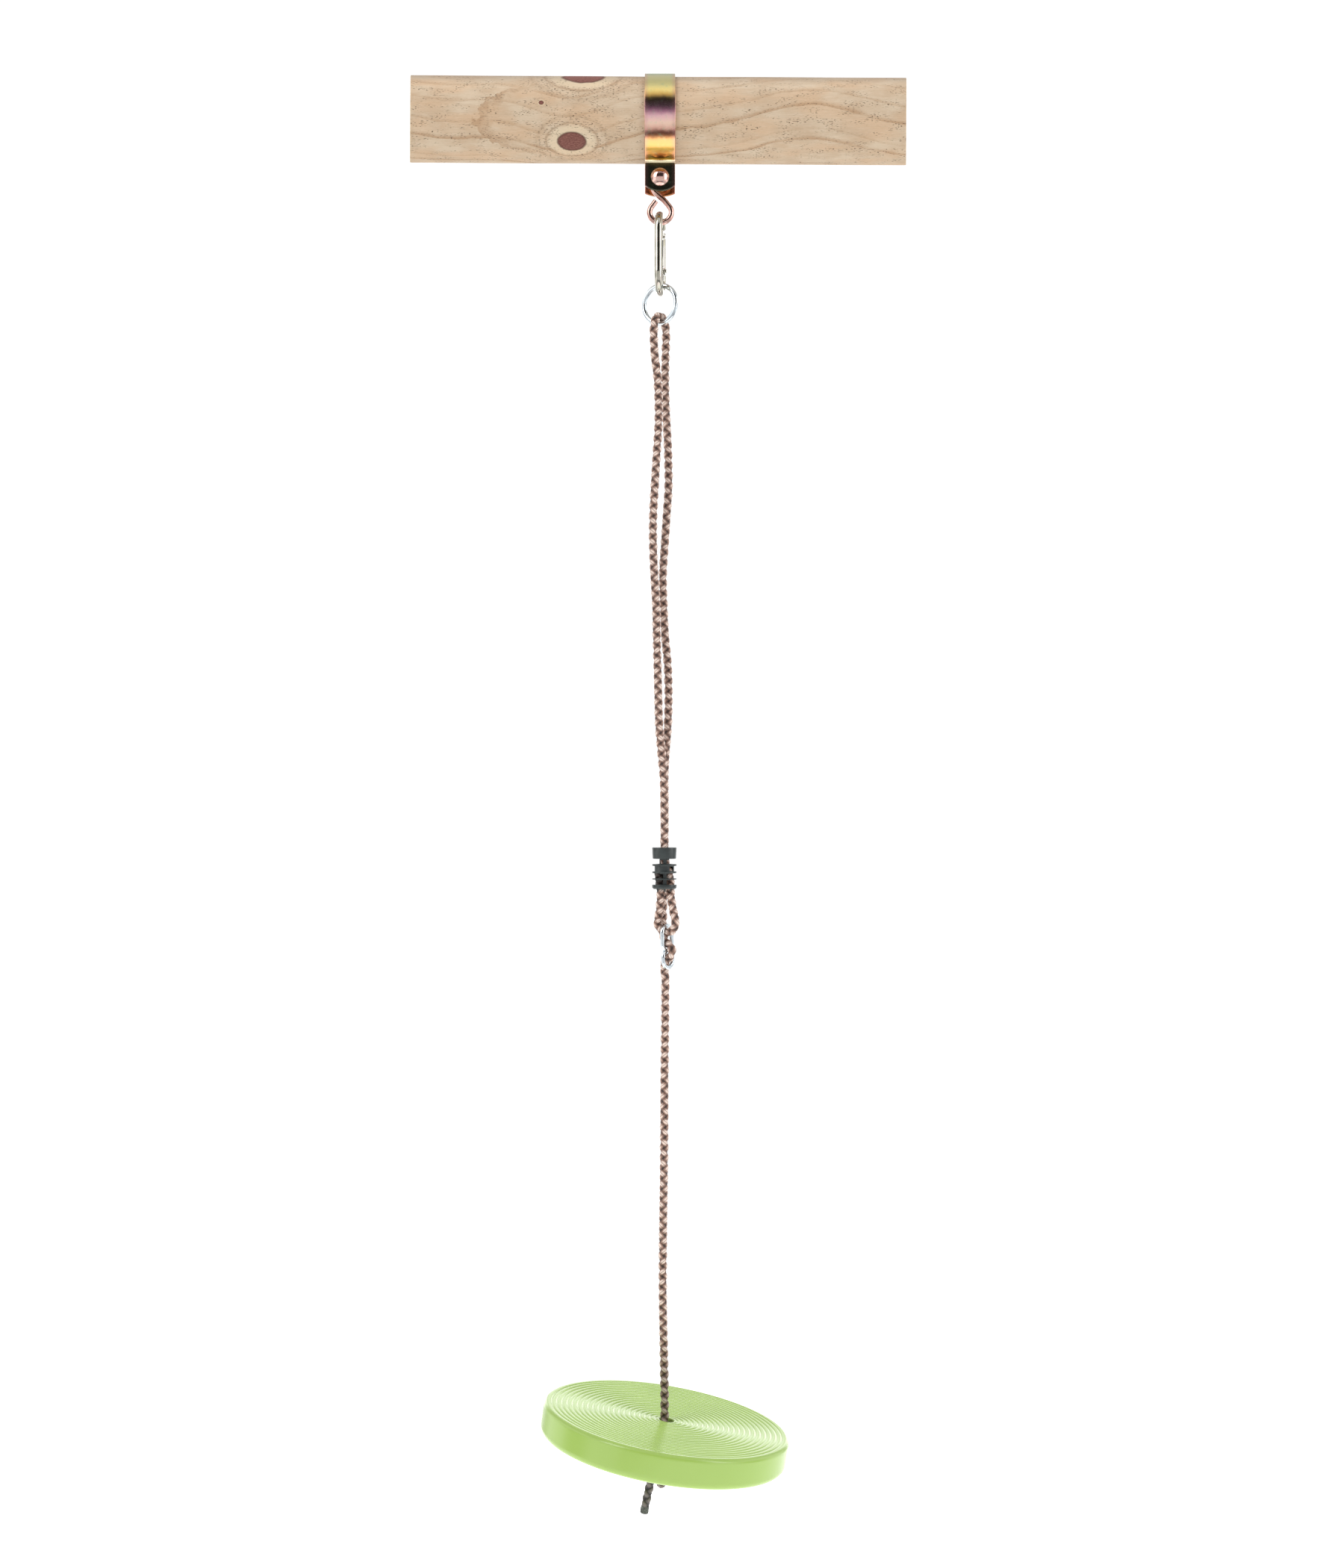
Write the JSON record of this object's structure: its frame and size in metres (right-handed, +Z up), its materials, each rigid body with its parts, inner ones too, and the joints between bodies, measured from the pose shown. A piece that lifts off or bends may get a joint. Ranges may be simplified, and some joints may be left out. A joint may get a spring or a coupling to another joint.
{
  "type": "disc swing",
  "caption": "Disc swing: round plastic seat on one braided rope with a length adjuster, hung by ring, snap hook and swivel hook from a strap clamp on a round beam.",
  "frame": {"origin": "on the beam's axis, in the middle of the clamp strap, straight above the clamp bolt", "axes": "+Z up, +X along the beam, -Y on the side of the bolt head, which is the side seen in front"},
  "size_m": [0.568, 0.284, 1.6471],
  "materials": {
    "pine": "satin sawn and turned pine, clear",
    "yellow_zinc": "yellow-passivated zinc, iridescent, semi-gloss",
    "copper_zinc": "yellow-passivated zinc wire with a rose tint",
    "nickel": "polished nickel-plated steel",
    "zinc": "bright zinc-plated steel",
    "spring_steel": "plain steel",
    "nylon": "natural nylon",
    "rope": "brown braided polypropylene (polyhemp)",
    "sealed_end": "melted rope end",
    "black_plastic": "moulded black plastic",
    "lime_plastic": "lime-green polyethylene, semi-gloss"
  },
  "bodies": {
    "mounting": {"beam": "pine", "clamp_strap": "yellow_zinc", "carriage_bolt": "yellow_zinc", "back_washer": "yellow_zinc", "lock_nut": "yellow_zinc", "swivel_sleeve": "spring_steel", "front_spacer": "nylon", "back_spacer": "nylon"},
    "hook": {"swing_hook": "copper_zinc"},
    "snap_hook": {"snap_hook_body": "nickel", "gate_rivet": "nickel"},
    "gate": {"snap_gate": "nickel", "gate_plunger": "spring_steel", "gate_spring": "spring_steel"},
    "ring": {"top_ring": "zinc"},
    "rope_top": {"rope_bight": "rope"},
    "adjuster": {"rope_clamp": "black_plastic", "rope_fixed_eye": "rope", "rope_strand_a": "rope", "rope_strand_b": "rope"},
    "eight": {"eight_ring": "zinc", "rope_through_eight": "rope"},
    "rope_low": {"lower_rope": "rope"},
    "knot": {"seat_knot": "rope", "rope_tail": "rope", "tail_seal": "sealed_end"},
    "seat": {"disc_seat": "lime_plastic"}
  },
  "joints": [
    {"name": "hook_swivel", "type": "hinge", "parent": "mounting", "child": "hook", "pos_m": [0, 0, -0.068], "axis": [0, 1, 0], "range_deg": [-25, 25]},
    {"name": "snap_swing", "type": "hinge", "parent": "hook", "child": "snap_hook", "pos_m": [0.0006, 0, -0.1169], "axis": [1, 0, 0], "range_deg": [-45, 45]},
    {"name": "gate_hinge", "type": "hinge", "parent": "snap_hook", "child": "gate", "pos_m": [0.00244, 0.02039, -0.168], "axis": [0.9945, -0.1045, 0], "range_deg": [0, 28], "stiffness_Nm_per_rad": 0.03, "springref_deg": -28.65},
    {"name": "ring_swing", "type": "hinge", "parent": "snap_hook", "child": "ring", "pos_m": [0.0003, 0, -0.1967], "axis": [0.1045, 0.9945, 0], "range_deg": [-30, 30]},
    {"name": "rope_swing", "type": "hinge", "parent": "ring", "child": "rope_top", "pos_m": [0, 0, -0.2319], "axis": [0.8443, -0.5358, 0], "range_deg": [-25, 25]},
    {"name": "adjuster_slide", "type": "slide", "parent": "rope_top", "child": "adjuster", "axis": [0, 0, 1], "range_m": [-0.06, 0.06], "deforming": ["rope_strand_a", "rope_strand_b"]},
    {"name": "eight_swing", "type": "hinge", "parent": "adjuster", "child": "eight", "pos_m": [0.0076, -0.001, -0.922], "axis": [0.6157, 0.788, 0], "range_deg": [-15, 15], "deforming": ["rope_through_eight"]},
    {"name": "lower_rope_slide", "type": "slide", "parent": "eight", "child": "rope_low", "axis": [0, 0, 1], "range_m": [-0.12, 0.12], "deforming": ["lower_rope"]},
    {"name": "seat_spin", "type": "hinge", "parent": "rope_low", "child": "knot", "pos_m": [0.0053, 0, -1.5209], "axis": [0, 0, 1], "continuous": true},
    {"name": "seat_tilt", "type": "hinge", "parent": "knot", "child": "seat", "pos_m": [0.0053, 0, -1.5041], "axis": [0, -1, 0], "range_deg": [0, 18.4]}
  ],
  "couplings": [
    {"joint": "lower_rope_slide", "follows": "adjuster_slide", "ratio": -2}
  ]
}
